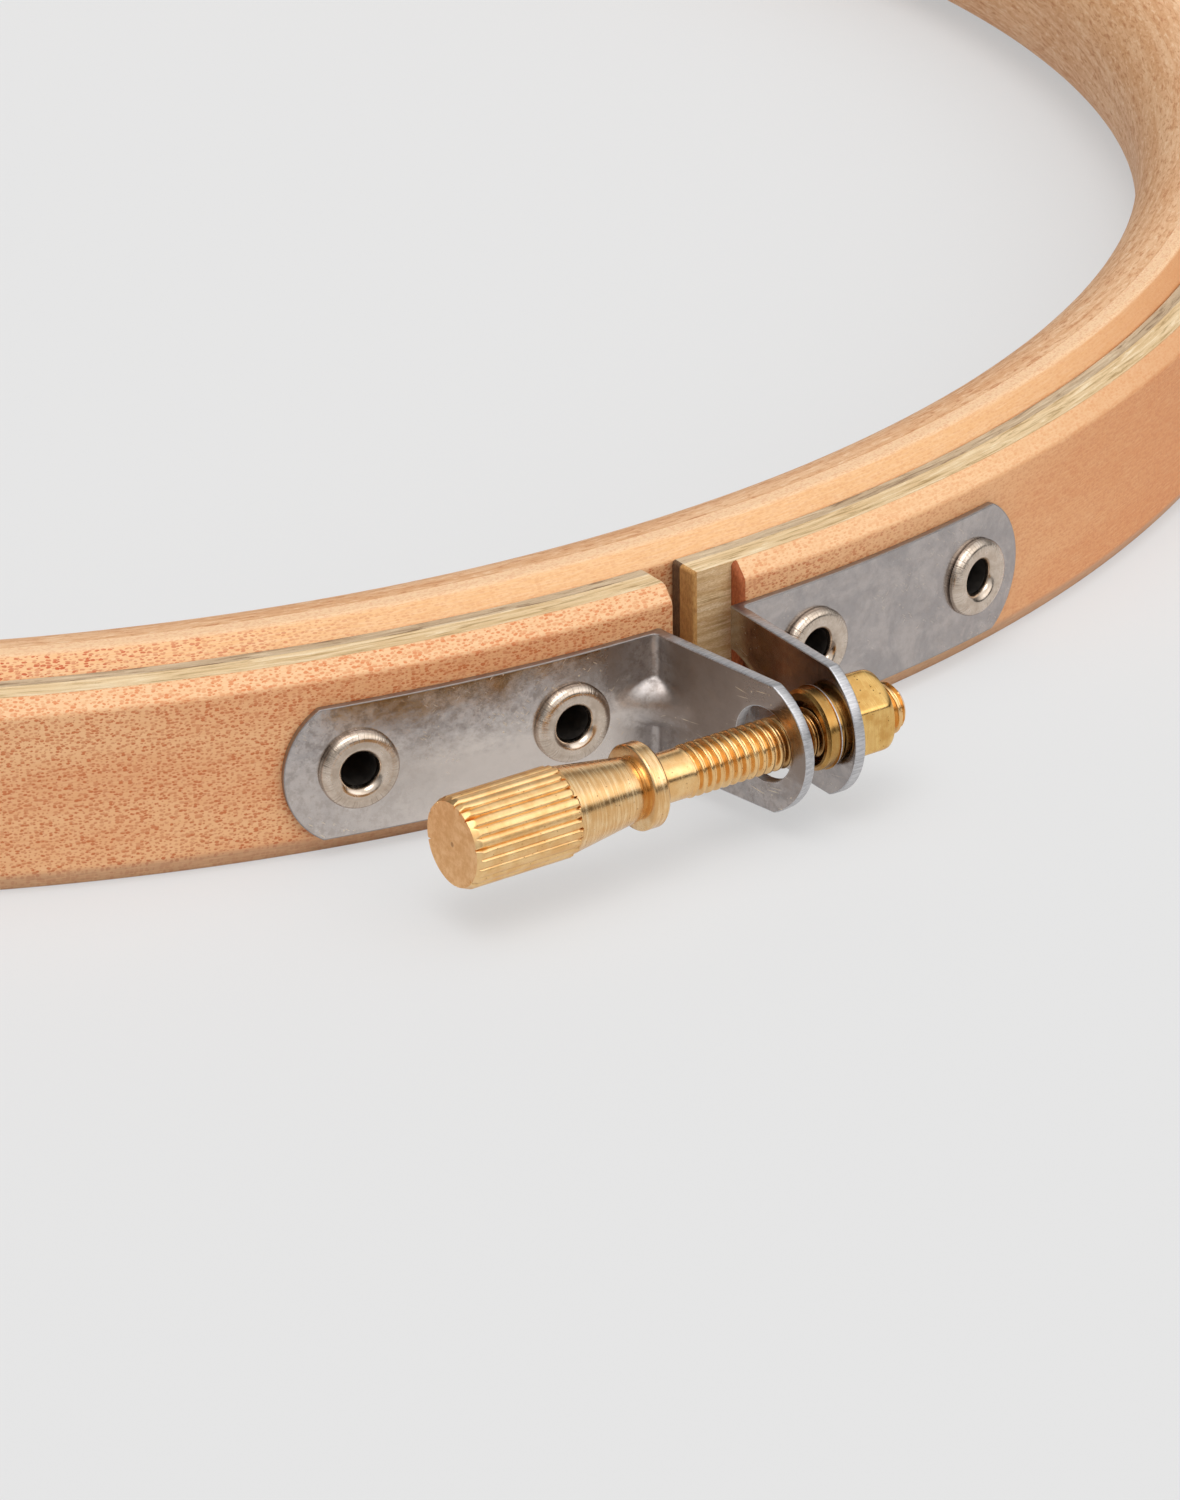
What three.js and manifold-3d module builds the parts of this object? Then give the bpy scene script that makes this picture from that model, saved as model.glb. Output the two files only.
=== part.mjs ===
// Embroidery hoop: a closed inner hoop inside a split outer hoop that a brass screw draws together.
// Millimetres, +Z up. The screw's axis runs along X, and the gap and the screw are at the front (-Y).
import * as THREE from "three";
import { ConvexGeometry } from "three/addons/geometries/ConvexGeometry.js";
import { mergeVertices } from "three/addons/utils/BufferGeometryUtils.js";
import Module from "manifold-3d";

const wasm = await Module();
wasm.setup();

// Outer hoop: three glued plies, bevelled along the outer edges
const hoopRadius = 127;
const hoopHeight = 16;
const facePly = 1.3;
const corePly = 1.9;
const backPly = 1.2;
const bevelWidth = 1.15;
const topBevelHeight = 1.2;
const footBevelHeight = 1.8;
const leftEnd = 1.3;
const rightEnd = 1.4;
const rightFaceEnd = 5.0;
const rearSplit = 0.3;

// Inner hoop: an outer ply with bevelled edges and a thick inner ply with rounded edges
const innerFacePly = 2.6;
const innerBackPly = 6.5;
const roundingWidth = 6.2;
const roundingHeight = 7.1;
const innerBevelWidth = 1.0;
const innerBevelHeight = 1.4;
const innerProud = 1.25;

// Clearances
const glueLine = 0.1;
const seat = 0.3;
const threadClearance = 0.15;
const overrun = 5;

// Brackets: one steel strip each, a plate curved on the hoop and an ear bent outwards
const stripThickness = 0.9;
const stripWidth = 11;
const stripHeight = 7.4;
const bendRadius = 0.8;
const plateReach = 34.3;
const plateEndRadius = 6.5;
const earLength = 15.65;
const earEndRadius = 7.4;
const leftEarOffset = 3.2;
const rightEarOffset = 4.3;
const leftEarLean = THREE.MathUtils.degToRad(-9.5);
const rightEarLean = 0;
const gussetReach = 3.6;
const gussetWidth = 3.8;
const slotLength = 6.6;
const slotWidth = 5.4;

// Eyelets: tubular rivets through plate and plies
const eyeletFromEnd = 4.8;
const eyeletFromGap = 11.7;
const eyeletBore = 1.55;
const eyeletBarrel = 2.0;
const eyeletHead = 3.35;
const eyeletCrown = 0.95;
const clinchRadius = 3.0;
const clinchThickness = 0.5;

// Screw: knurled head, tapered neck, collar, plain shank and thread
const screwOut = 12.6;
const screwHeight = 7.6;
const backedOff = 10.6;
const headRadius = 3.6;
const headLength = 10;
const headBevel = 0.45;
const knurlCount = 28;
const knurlDepth = 0.3;
const dimpleRadius = 0.35;
const dimpleDepth = 0.2;
const neckLength = 5.65;
const neckStartRadius = 3.2;
const neckEndRadius = 2.65;
const collarRadius = 3.5;
const collarLength = 1.8;
const shankRadius = 1.95;
const shankLength = 3.45;
const threadRadius = 2.08;
const threadDepth = 0.42;
const threadPitch = 0.794;
const tipBevel = 0.5;
const tipPastNut = 2.35;

// Captive nut: a hexagon outside the right ear, a spigot through it and a rolled rim inside
const nutAcrossFlats = 5.8;
const nutLength = 3;
const nutBevel = 0.35;
const spigotRadius = 2.65;
const rimRadius = 3.25;
const rimLength = 0.8;
const rimFlare = 0.35;

// Fineness of the faceted surfaces
const hoopSegments = 80;
const drillSegments = 20;
const turnedSegments = 24;
const threadSides = 12;
const rowsPerPitch = 2;
const endSteps = 8;
const bendSteps = 4;
const roundingSteps = 4;
const crownSteps = 6;

// Sizes that follow from the ones above
const coreRadius = hoopRadius - facePly;
const backRadius = coreRadius - corePly;
const boreRadius = backRadius - backPly;
const innerHoopRadius = boreRadius - seat;
const innerCoreRadius = innerHoopRadius - innerFacePly;
const innerHoleRadius = innerCoreRadius - innerBackPly;
const plateRadius = hoopRadius + seat;
const plateMiddle = plateRadius + stripThickness / 2;
const plateFace = plateRadius + stripThickness;
const screwRadius = hoopRadius + screwOut;
const stripHalf = stripWidth / 2;
const through = 4 * screwRadius;
const hoopStep = (2 * Math.PI) / hoopSegments;

// Along the screw's axis: faces of the ears, the nut and the parts of the screw
const earFace = (offset, lean, out, sign) =>
  offset + Math.tan(lean) * (out - plateMiddle) + (sign * stripThickness) / 2 / Math.cos(lean);
const rimStart = earFace(rightEarOffset, rightEarLean, screwRadius, -1) - seat - rimLength;
const nutStart = earFace(rightEarOffset, rightEarLean, screwRadius, 1) + seat;
const nutEnd = nutStart + nutLength;
const collarEnd = -earFace(leftEarOffset, leftEarLean, screwRadius - collarRadius, 1) - backedOff;
const neckEnd = collarEnd - collarLength;
const neckStart = neckEnd - neckLength;
const headStart = neckStart - headLength;
const shankEnd = collarEnd + shankLength;
const screwTip = nutEnd + tipPastNut;

const steel = new THREE.MeshStandardMaterial({ color: 0x9b9494, roughness: 0.35, metalness: 1 });
const nickel = new THREE.MeshStandardMaterial({ color: 0xc8bfb2, roughness: 0.25, metalness: 1 });
const brass = new THREE.MeshStandardMaterial({ color: 0xe0b464, roughness: 0.25, metalness: 1 });
const beech = new THREE.MeshStandardMaterial({ color: 0xd8a578, roughness: 0.6, metalness: 0 });
const paleWood = new THREE.MeshStandardMaterial({ color: 0xe0c090, roughness: 0.65, metalness: 0 });
const greyWood = new THREE.MeshStandardMaterial({ color: 0xb09576, roughness: 0.7, metalness: 0 });

// Joins and cuts work on solids with merged corners
function solid(geometry) {
  const bare = geometry.clone();
  bare.deleteAttribute("normal");
  bare.deleteAttribute("uv");
  const merged = mergeVertices(bare);
  const vertProperties = new Float32Array(merged.attributes.position.array);
  const triVerts = new Uint32Array(merged.index.array);
  return new wasm.Manifold(new wasm.Mesh({ numProp: 3, vertProperties, triVerts }));
}

function named(name, shape, material) {
  const { vertProperties, triVerts } = shape.getMesh();
  const geometry = new THREE.BufferGeometry();
  geometry.setAttribute("position", new THREE.BufferAttribute(new Float32Array(vertProperties), 3));
  geometry.setIndex(new THREE.BufferAttribute(new Uint32Array(triVerts), 1));
  geometry.computeVertexNormals();
  const mesh = new THREE.Mesh(geometry, material);
  mesh.name = name;
  return mesh;
}

function extruded(shape, depth) {
  const geometry = new THREE.ExtrudeGeometry(shape, { depth, bevelEnabled: false, curveSegments: endSteps });
  return geometry.translate(0, 0, -depth / 2);
}

function corners(profile) {
  return profile.map(([radius, height]) => new THREE.Vector2(radius, height));
}

// A closed profile of [radius, height], counter-clockwise, turned round the Z axis
function hoopRing(profile) {
  const points = corners([...profile, profile[0]]);
  return solid(new THREE.LatheGeometry(points, hoopSegments).rotateX(Math.PI / 2));
}

// A profile of [radius, x] that starts and ends on the X axis, turned round it
function turnedOnScrew(profile) {
  return solid(new THREE.LatheGeometry(corners(profile), turnedSegments).rotateZ(-Math.PI / 2));
}

// The plies of the outer hoop end at the gap in front and are split at the rear, where the hoop flexes
function sideOfHoop(side, end) {
  const far = hoopRadius + overrun;
  const split = rearSplit / 2;
  const plan = new THREE.Shape(
    corners([
      [side * split, 0],
      [side * split, far],
      [side * far, far],
      [side * far, -far],
      [side * end, -far],
      [side * end, 0],
    ]),
  );
  return solid(extruded(plan, hoopHeight + overrun).translate(0, 0, hoopHeight / 2));
}

// Angles of a side's eyelets from the front
function eyeletAngles(side) {
  return [eyeletFromGap, plateReach - eyeletFromEnd].map((across) => side * Math.asin(across / plateFace));
}

function withEyeletHoles(shape, side, radius) {
  const length = 2 * (plateFace + overrun - boreRadius);
  return eyeletAngles(side).reduce((rest, angle) => {
    const drill = new THREE.CylinderGeometry(radius, radius, length, drillSegments);
    drill.translate(0, plateFace, 0).rotateZ(Math.PI + angle).translate(0, 0, stripHeight);
    return rest.subtract(solid(drill));
  }, shape);
}

function plyProfile(inner, outer) {
  return [[inner, 0], [outer, 0], [outer, hoopHeight], [inner, hoopHeight]];
}

function bevelledProfile(inner, outer, width, footHeight, topHeight) {
  return [
    [inner, 0],
    [outer - width, 0],
    [outer, footHeight],
    [outer, hoopHeight - topHeight],
    [outer - width, hoopHeight],
    [inner, hoopHeight],
  ];
}

function outerHoop(side, word) {
  const faceEnd = side < 0 ? leftEnd : rightFaceEnd;
  const end = side < 0 ? leftEnd : rightEnd;
  const barrelHole = eyeletBarrel + seat;
  const face = bevelledProfile(coreRadius, hoopRadius, bevelWidth, footBevelHeight, topBevelHeight);
  const plies = [
    ["face_ply", face, faceEnd, barrelHole, beech],
    ["core_ply", plyProfile(backRadius, coreRadius - glueLine), end, barrelHole, paleWood],
    ["back_ply", plyProfile(boreRadius, backRadius - glueLine), end, clinchRadius + seat, greyWood],
  ];
  return plies.map(([name, profile, cut, hole, material]) => {
    const half = hoopRing(profile).intersect(sideOfHoop(side, cut));
    return named(`outer_${name}_${word}`, withEyeletHoles(half, side, hole), material);
  });
}

// The inner hoop stands proud of the outer one
function innerHoop() {
  const bevels = [innerBevelWidth, innerBevelHeight, innerBevelHeight];
  const face = hoopRing(bevelledProfile(innerCoreRadius, innerHoopRadius, ...bevels));
  const middle = innerHoleRadius + roundingWidth;
  const rounding = (height, from) =>
    Array.from({ length: roundingSteps + 1 }, (_, step) => {
      const turn = from + (step / roundingSteps) * (Math.PI / 2);
      return [middle + roundingWidth * Math.cos(turn), height + roundingHeight * Math.sin(turn)];
    });
  const back = hoopRing([
    [innerCoreRadius - glueLine, 0],
    [innerCoreRadius - glueLine, hoopHeight],
    ...rounding(hoopHeight - roundingHeight, Math.PI / 2),
    ...rounding(roundingHeight, Math.PI),
  ]);
  const group = new THREE.Group();
  group.position.z = innerProud;
  return group.add(named("inner_face_ply", face, beech), named("inner_back_ply", back, greyWood));
}

// The strip's outline, from start to a round end at reach
function stripOutline(start, reach, endRadius) {
  const swing = Math.asin(stripHalf / endRadius);
  const shape = new THREE.Shape();
  shape.moveTo(start, stripHalf);
  shape.lineTo(start, -stripHalf);
  shape.absarc(reach - endRadius, 0, endRadius, -swing, swing, false);
  return shape;
}

// The strip's middle line seen from above, as [place, normal], for a bracket on the right: the plate
// follows the hoop's facets, and the bend turns it outwards into the ear
function stripLine(earOffset, lean) {
  const bend = bendRadius + stripThickness / 2;
  const along = new THREE.Vector2(Math.sin(lean), -Math.cos(lean));
  const across = new THREE.Vector2(Math.cos(lean), Math.sin(lean));
  const foot = new THREE.Vector2(earOffset, -plateMiddle);
  const centre = foot.clone().addScaledVector(across, bend);
  const run = centre.dot(along);
  const toCentre = Math.sqrt(run ** 2 - centre.lengthSq() + (plateMiddle + bend) ** 2) - run;
  centre.addScaledVector(along, toCentre);
  const bendStart = Math.atan2(centre.x, -centre.y);
  const lastFacet = Math.ceil(Math.asin(plateReach / plateRadius) / hoopStep);
  const angles = Array.from({ length: lastFacet + 1 }, (_, index) => (lastFacet - index) * hoopStep);
  const plate = [...angles.filter((angle) => angle > bendStart), bendStart].map((angle) => {
    const normal = new THREE.Vector2(Math.sin(angle), -Math.cos(angle));
    return [normal.clone().multiplyScalar(plateMiddle), normal];
  });
  const turn = Math.PI / 2 + lean - bendStart;
  const corner = Array.from({ length: bendSteps }, (_, index) => {
    const angle = Math.PI / 2 + bendStart + (turn * (index + 1)) / bendSteps;
    const away = new THREE.Vector2(Math.cos(angle), Math.sin(angle));
    return [centre.clone().addScaledVector(away, bend), away.negate()];
  });
  const end = foot.clone().addScaledVector(along, earLength + overrun);
  return { line: [...plate, ...corner, [end, across]], foot, along, middle: corner[bendSteps / 2 - 1][0] };
}

// A small pyramid pressed into the bend stiffens it
function gusset(side, { foot, along, middle }) {
  const onPlate = Math.asin((foot.x + gussetReach) / plateMiddle);
  const onEar = foot.clone().addScaledVector(along, gussetReach);
  const half = gussetWidth / 2;
  const points = [
    [plateMiddle * Math.sin(onPlate), -plateMiddle * Math.cos(onPlate), 0],
    [onEar.x, onEar.y, 0],
    [middle.x, middle.y, half],
    [middle.x, middle.y, -half],
  ];
  return solid(new ConvexGeometry(points.map(([x, y, z]) => new THREE.Vector3(side * x, y, stripHeight + z))));
}

function bracket(side, word, earOffset, lean, earHole) {
  const strip = stripLine(earOffset, lean);
  const edge = (sign) =>
    strip.line.map(([place, normal]) => {
      const point = place.clone().addScaledVector(normal, (sign * stripThickness) / 2);
      return new THREE.Vector2(side * point.x, point.y);
    });
  const plan = new THREE.Shape([...edge(-1), ...edge(1).reverse()]);
  const bent = solid(extruded(plan, stripWidth + overrun).translate(0, 0, stripHeight));
  const plateOutline = stripOutline(-screwRadius, plateReach, plateEndRadius);
  const plateEnd = extruded(plateOutline, through).rotateX(Math.PI / 2);
  plateEnd.rotateZ(side < 0 ? Math.PI : 0).translate(0, 0, stripHeight);
  const earOutline = stripOutline(-screwRadius, earLength, earEndRadius);
  const earEnd = extruded(earOutline, through).rotateX(Math.PI / 2);
  earEnd.rotateZ(side * lean - Math.PI / 2).translate(side * strip.foot.x, strip.foot.y, stripHeight);
  const drill = extruded(earHole, through).rotateY(Math.PI / 2).translate(0, -screwRadius, screwHeight);
  const blank = bent.intersect(solid(plateEnd)).intersect(solid(earEnd)).subtract(solid(drill));
  const pressed = blank.add(gusset(side, strip));
  return named(`bracket_${word}`, withEyeletHoles(pressed, side, eyeletBarrel + seat), steel);
}

// An oval hole in an ear, its height along Z and its length along Y
function oval(width, length) {
  const shape = new THREE.Shape();
  return shape.absellipse(0, 0, width / 2, length / 2, 0, 2 * Math.PI);
}

// An eyelet from its rolled rim on the plate to its clinched end in the back ply, along its own Y axis
function eyelet(name, angle) {
  const clinchTop = backRadius - seat - plateFace;
  const middle = (eyeletHead + eyeletBore) / 2;
  const crown = Array.from({ length: crownSteps + 1 }, (_, step) => {
    const turn = (step / crownSteps) * Math.PI;
    const height = glueLine + (eyeletCrown - glueLine) * Math.sin(turn);
    return [middle + (eyeletHead - middle) * Math.cos(turn), height];
  });
  const profile = [
    [eyeletBore, clinchTop - clinchThickness],
    [clinchRadius, clinchTop - clinchThickness],
    [clinchRadius, clinchTop],
    [eyeletBarrel, clinchTop],
    [eyeletBarrel, glueLine],
    ...crown,
  ];
  const tube = new THREE.LatheGeometry(corners([...profile, profile[0]]), drillSegments);
  const mesh = named(name, solid(tube), nickel);
  mesh.rotation.z = Math.PI + angle;
  mesh.position.set(plateFace * Math.sin(angle), -plateFace * Math.cos(angle), stripHeight);
  return mesh;
}

function screwHead() {
  const outline = Array.from({ length: 2 * knurlCount }, (_, index) => {
    const angle = (index * Math.PI) / knurlCount;
    const radius = headRadius - (index % 2) * knurlDepth;
    return [radius * Math.cos(angle), radius * Math.sin(angle)];
  });
  const knurled = extruded(new THREE.Shape(corners(outline)), headLength).rotateY(Math.PI / 2);
  const blank = turnedOnScrew([
    [0, headStart],
    [headRadius - headBevel, headStart],
    [headRadius + knurlDepth, headStart + headBevel + knurlDepth],
    [headRadius + knurlDepth, neckStart - headBevel],
    [headRadius - headBevel, neckStart],
    [0, neckStart],
  ]);
  const dimple = turnedOnScrew([
    [0, headStart - dimpleDepth],
    [2 * dimpleRadius, headStart - dimpleDepth],
    [0, headStart + dimpleDepth],
  ]);
  const neck = turnedOnScrew([
    [0, neckStart - headBevel],
    [neckStartRadius, neckStart - headBevel],
    [neckStartRadius, neckStart],
    [neckEndRadius, neckEnd],
    [collarRadius, neckEnd],
    [collarRadius, collarEnd],
    [0, collarEnd],
  ]);
  const grip = solid(knurled.translate(headStart + headLength / 2, 0, 0)).intersect(blank);
  return named("screw_head", grip.subtract(dimple).add(neck), brass);
}

// A screw thread as one wrapped sheet: rows alternate between crest and root and climb one pitch a turn
function threadRod(from, to) {
  const rows = Math.ceil(((to - from) / threadPitch + 2) * rowsPerPitch);
  const start = from - threadPitch;
  const positions = [];
  for (let row = 0; row <= rows; row += 1) {
    const radius = row % rowsPerPitch === 0 ? threadRadius : threadRadius - threadDepth;
    for (let side = 0; side < threadSides; side += 1) {
      const turn = side / threadSides;
      const x = start + (row / rowsPerPitch + turn) * threadPitch;
      positions.push(x, radius * Math.cos(turn * 2 * Math.PI), radius * Math.sin(turn * 2 * Math.PI));
    }
  }
  const at = (row, side) => (row + (side === threadSides ? rowsPerPitch : 0)) * threadSides + (side % threadSides);
  const indices = [];
  for (let side = 0; side < threadSides; side += 1) {
    const last = side === threadSides - 1 ? rows - rowsPerPitch : rows;
    for (let row = 0; row < last; row += 1) {
      indices.push(at(row, side), at(row, side + 1), at(row + 1, side));
      indices.push(at(row + 1, side), at(row, side + 1), at(row + 1, side + 1));
    }
  }
  const first = [];
  const final = [];
  for (let side = 0; side < threadSides; side += 1) {
    first.push(at(0, side));
    final.push(at(rows, side));
  }
  for (let row = rowsPerPitch; row > 0; row -= 1) {
    first.push(at(row, 0));
    final.push(at(rows + row - rowsPerPitch - 1, threadSides - 1));
  }
  const centres = [start - threadPitch, start + (rows / rowsPerPitch + 2) * threadPitch].map((x) => {
    positions.push(x, 0, 0);
    return positions.length / 3 - 1;
  });
  first.forEach((corner, index) => indices.push(centres[0], first[(index + 1) % first.length], corner));
  final.forEach((corner, index) => indices.push(centres[1], corner, final[(index + 1) % final.length]));
  const geometry = new THREE.BufferGeometry();
  geometry.setAttribute("position", new THREE.Float32BufferAttribute(positions, 3));
  geometry.setIndex(indices);
  return solid(geometry);
}

function screwShank() {
  const envelope = turnedOnScrew([
    [0, shankEnd],
    [threadRadius + seat, shankEnd],
    [threadRadius + seat, screwTip - tipBevel - seat],
    [threadRadius - tipBevel, screwTip],
    [0, screwTip],
  ]);
  const shank = turnedOnScrew([
    [0, collarEnd + glueLine],
    [shankRadius, collarEnd + glueLine],
    [shankRadius, shankEnd + threadPitch / 2],
    [0, shankEnd + threadPitch / 2],
  ]);
  return named("screw_shank", threadRod(shankEnd, screwTip).intersect(envelope).add(shank), brass);
}

function captiveNut() {
  const bore = threadRadius + threadClearance;
  const nutCorner = nutAcrossFlats / 2 / Math.cos(Math.PI / 6);
  const hexagon = new THREE.CylinderGeometry(nutCorner, nutCorner, nutLength, 6).rotateZ(-Math.PI / 2);
  const bevelled = turnedOnScrew([
    [0, nutStart],
    [nutCorner + seat, nutStart],
    [nutCorner + seat, nutEnd - nutBevel - seat],
    [nutCorner - nutBevel, nutEnd],
    [0, nutEnd],
  ]);
  const spigot = turnedOnScrew([
    [0, rimStart],
    [rimRadius, rimStart],
    [rimRadius, rimStart + rimLength],
    [spigotRadius, rimStart + rimLength],
    [spigotRadius, nutStart + nutBevel],
    [0, nutStart + nutBevel],
  ]);
  const hole = turnedOnScrew([
    [0, rimStart - rimLength],
    [bore + 2 * rimFlare, rimStart - rimLength],
    [bore, rimStart + rimLength],
    [bore, nutEnd + overrun],
    [0, nutEnd + overrun],
  ]);
  const body = solid(hexagon.translate((nutStart + nutEnd) / 2, 0, 0)).intersect(bevelled);
  return named("captive_nut", body.add(spigot).subtract(hole), brass);
}

// Everything on the screw's axis
function hardware() {
  const group = new THREE.Group();
  group.position.set(0, -screwRadius, screwHeight);
  return group.add(screwHead(), screwShank(), captiveNut());
}

const spigotHole = 2 * (spigotRadius + seat);
const hoop = new THREE.Group();
hoop.add(innerHoop(), ...outerHoop(-1, "left"), ...outerHoop(1, "right"), hardware());
hoop.add(bracket(-1, "left", leftEarOffset, leftEarLean, oval(slotWidth, slotLength)));
hoop.add(bracket(1, "right", rightEarOffset, rightEarLean, oval(spigotHole, spigotHole)));
[[-1, "left"], [1, "right"]].forEach(([side, word]) => {
  const [inner, outer] = eyeletAngles(side);
  hoop.add(eyelet(`eyelet_${word}_inner`, inner), eyelet(`eyelet_${word}_outer`, outer));
});

// The origin is under the middle of the whole object
const box = new THREE.Box3().setFromObject(hoop);
hoop.position.y = -(box.min.y + box.max.y) / 2;
const part = new THREE.Group();
part.add(hoop);

export default part;
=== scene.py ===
"""Embroidery hoop: the looks of its wood, steel, nickel and brass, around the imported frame."""

from functools import partialmethod
from math import asin, atan2, ceil, copysign, cos, floor, pi, radians, sin, sqrt, tan, tau

import bmesh
import bpy
from mathutils import Matrix, Vector
from mathutils.geometry import delaunay_2d_cdt


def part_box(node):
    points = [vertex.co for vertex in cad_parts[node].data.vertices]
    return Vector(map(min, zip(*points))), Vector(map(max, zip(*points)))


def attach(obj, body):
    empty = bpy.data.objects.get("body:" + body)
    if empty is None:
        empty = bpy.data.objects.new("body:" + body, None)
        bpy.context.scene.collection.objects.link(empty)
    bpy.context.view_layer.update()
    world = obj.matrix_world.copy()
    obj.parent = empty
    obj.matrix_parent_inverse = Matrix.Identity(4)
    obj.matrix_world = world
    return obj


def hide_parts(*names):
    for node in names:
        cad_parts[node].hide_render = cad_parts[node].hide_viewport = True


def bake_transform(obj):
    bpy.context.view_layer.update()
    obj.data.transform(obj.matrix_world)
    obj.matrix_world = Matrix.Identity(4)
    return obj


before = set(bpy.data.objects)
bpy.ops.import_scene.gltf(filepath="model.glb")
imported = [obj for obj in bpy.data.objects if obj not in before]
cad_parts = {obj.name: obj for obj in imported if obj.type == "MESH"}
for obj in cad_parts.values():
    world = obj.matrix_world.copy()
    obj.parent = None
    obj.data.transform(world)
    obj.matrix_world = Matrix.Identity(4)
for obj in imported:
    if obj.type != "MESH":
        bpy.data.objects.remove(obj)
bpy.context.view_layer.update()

# Sizes here are in millimetres, and MM turns them into Blender's metres
MM = 0.001

# The hoop's place and reach, from the frame
HOOP_Y = (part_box("inner_face_ply")[0].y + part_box("inner_face_ply")[1].y) / 2 / MM
HOOP_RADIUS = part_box("outer_face_ply_right")[1].x / MM
HOOP_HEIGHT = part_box("outer_face_ply_right")[1].z / MM
INNER_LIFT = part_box("inner_face_ply")[0].z / MM
INNER_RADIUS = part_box("inner_face_ply")[1].x / MM

# Plies and bevels
FACE_PLY, CORE_PLY, BACK_PLY = 1.3, 1.9, 1.2
BEVEL_WIDTH, TOP_BEVEL, FOOT_BEVEL = 1.15, 1.2, 1.8
INNER_FACE_PLY, INNER_BACK_PLY = 2.6, 6.6
INNER_BEVEL_WIDTH, INNER_BEVEL = 1.4, 1.5
ROUNDING_WIDTH, ROUNDING_HEIGHT = 6.25, 7.1
LEFT_END, RIGHT_END, RIGHT_FACE_END = 1.3, 1.4, 5.0
CORE_RADIUS = HOOP_RADIUS - FACE_PLY
BACK_RADIUS = CORE_RADIUS - CORE_PLY
BORE_RADIUS = BACK_RADIUS - BACK_PLY

# Brackets
STRIP_THICKNESS, STRIP_WIDTH, STRIP_HEIGHT = 0.92, 11.0, 7.4
PLATE_RADIUS, PLATE_THINNING = HOOP_RADIUS + 0.02, 0.28
PLATE_MIDDLE = PLATE_RADIUS + STRIP_THICKNESS / 2
PLATE_FACE = PLATE_RADIUS + STRIP_THICKNESS - PLATE_THINNING
BEND_RADIUS = {-1: 0.45, 1: 0.15}
PLATE_REACH, PLATE_END_RADIUS = {-1: 34.55, 1: 35.1}, 6.5
EAR_LENGTH, EAR_END_RADIUS, EAR_SKEW = {-1: 16.48, 1: 16.17}, 6.03, 0.012
EARS = {-1: (3.2, radians(-9.5)), 1: (4.3, 0.0)}
# How each strip lies: its height in the bend, its rise along it, and how the ear's top edge falls away
LIE = {-1: (0.1, 0.009, 0.025), 1: (0.15, 0.0, 0.014)}
GUSSET_REACH, GUSSET_SPAN, GUSSET_HALF, GUSSET_DROP = 2.8, 4.6, 2.15, 0.2
BEND_END = 1.5
EAR_BORE, PLATE_HOLE, PLY_HOLE, BACK_HOLE = 2.75, 2.03, 2.05, 3.05
SLOT_SIZE, SLOT_BACK, SLOT_RISE = (2.95, 3.14), 0.4, 0.16
EYELET_PLACES = {-1: (11.14, 28.76), 1: (11.84, 29.84)}
EYELET_HEIGHT = {-1: STRIP_HEIGHT - 0.06, 1: STRIP_HEIGHT + 0.1}

# The screw's axis
SCREW_RADIUS = HOOP_RADIUS + 12.6
SCREW_HEIGHT = 7.6
SCREW_Y = HOOP_Y - SCREW_RADIUS
WORDS = {-1: "left", 1: "right"}


def unit(angle):
    """The direction at an angle from the front of the hoop, seen from above."""
    return Vector((sin(angle), -cos(angle)))


def smooth(share):
    """A share from 0 to 1 with soft ends."""
    share = min(1.0, max(0.0, share))
    return share * share * (3 - 2 * share)


def between(low, high, count):
    return [low + (high - low) * index / count for index in range(count + 1)]


def arc(centre, size, start, end, steps):
    """Points on an arc of an ellipse, from one angle to another."""
    turns = between(start, end, steps)
    return [Vector((centre[0] + size[0] * cos(t), centre[1] + size[1] * sin(t))) for t in turns]


def neighbours(loop):
    """Each point of a closed loop, with the one before it and the one after it."""
    return zip([loop[-1], *loop], loop, [*loop[1:], loop[0]])


def filleted(points, radii, steps=4):
    """A closed outline with each corner rounded by its own radius."""
    outline = []
    for radius, (before, corner, after) in zip(radii, neighbours([Vector(point) for point in points])):
        before, after = (before - corner).normalized(), (after - corner).normalized()
        half = before.angle(after) / 2
        reach = radius / tan(half)
        start, end = corner + before * reach, corner + after * reach
        middle = corner + (before + after).normalized() * (radius / sin(half))
        first, last = start - middle, end - middle
        swing = first.angle_signed(last)
        for step in range(steps + 1):
            turn = Matrix.Rotation(-swing * step / steps, 2)
            outline.append(middle + turn @ first)
    return outline


def inset(outline, distance):
    """A closed outline moved inwards; the outline runs counter-clockwise."""
    moved = []
    for before, point, after in neighbours(outline):
        before, after = (point - before).normalized(), (after - point).normalized()
        inward = Vector((-before.y - after.y, before.x + after.x)).normalized()
        stretch = max(inward.dot(Vector((-before.y, before.x))), 0.5)
        moved.append(point + inward * (distance / stretch))
    return moved


def face_outwards(mesh):
    shape = bmesh.new()
    shape.from_mesh(mesh)
    bmesh.ops.recalc_face_normals(shape, faces=shape.faces)
    shape.to_mesh(mesh)
    shape.free()


def placed(name, data):
    """A new object in the scene."""
    thing = bpy.data.objects.new(name, data)
    bpy.context.scene.collection.objects.link(thing)
    return thing


def made(name, points, faces, materials, slots=None, sharp=40):
    """A mesh object from points in millimetres, smooth apart from its sharp edges."""
    mesh = bpy.data.meshes.new(name)
    mesh.from_pydata([Vector(point) * MM for point in points], [], faces)
    for material in materials:
        mesh.materials.append(material)
    if slots:
        mesh.polygons.foreach_set("material_index", slots)
    mesh.polygons.foreach_set("use_smooth", [True] * len(mesh.polygons))
    mesh.validate()
    face_outwards(mesh)
    mesh.set_sharp_from_angle(angle=radians(sharp))
    return placed(name, mesh)


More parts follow.
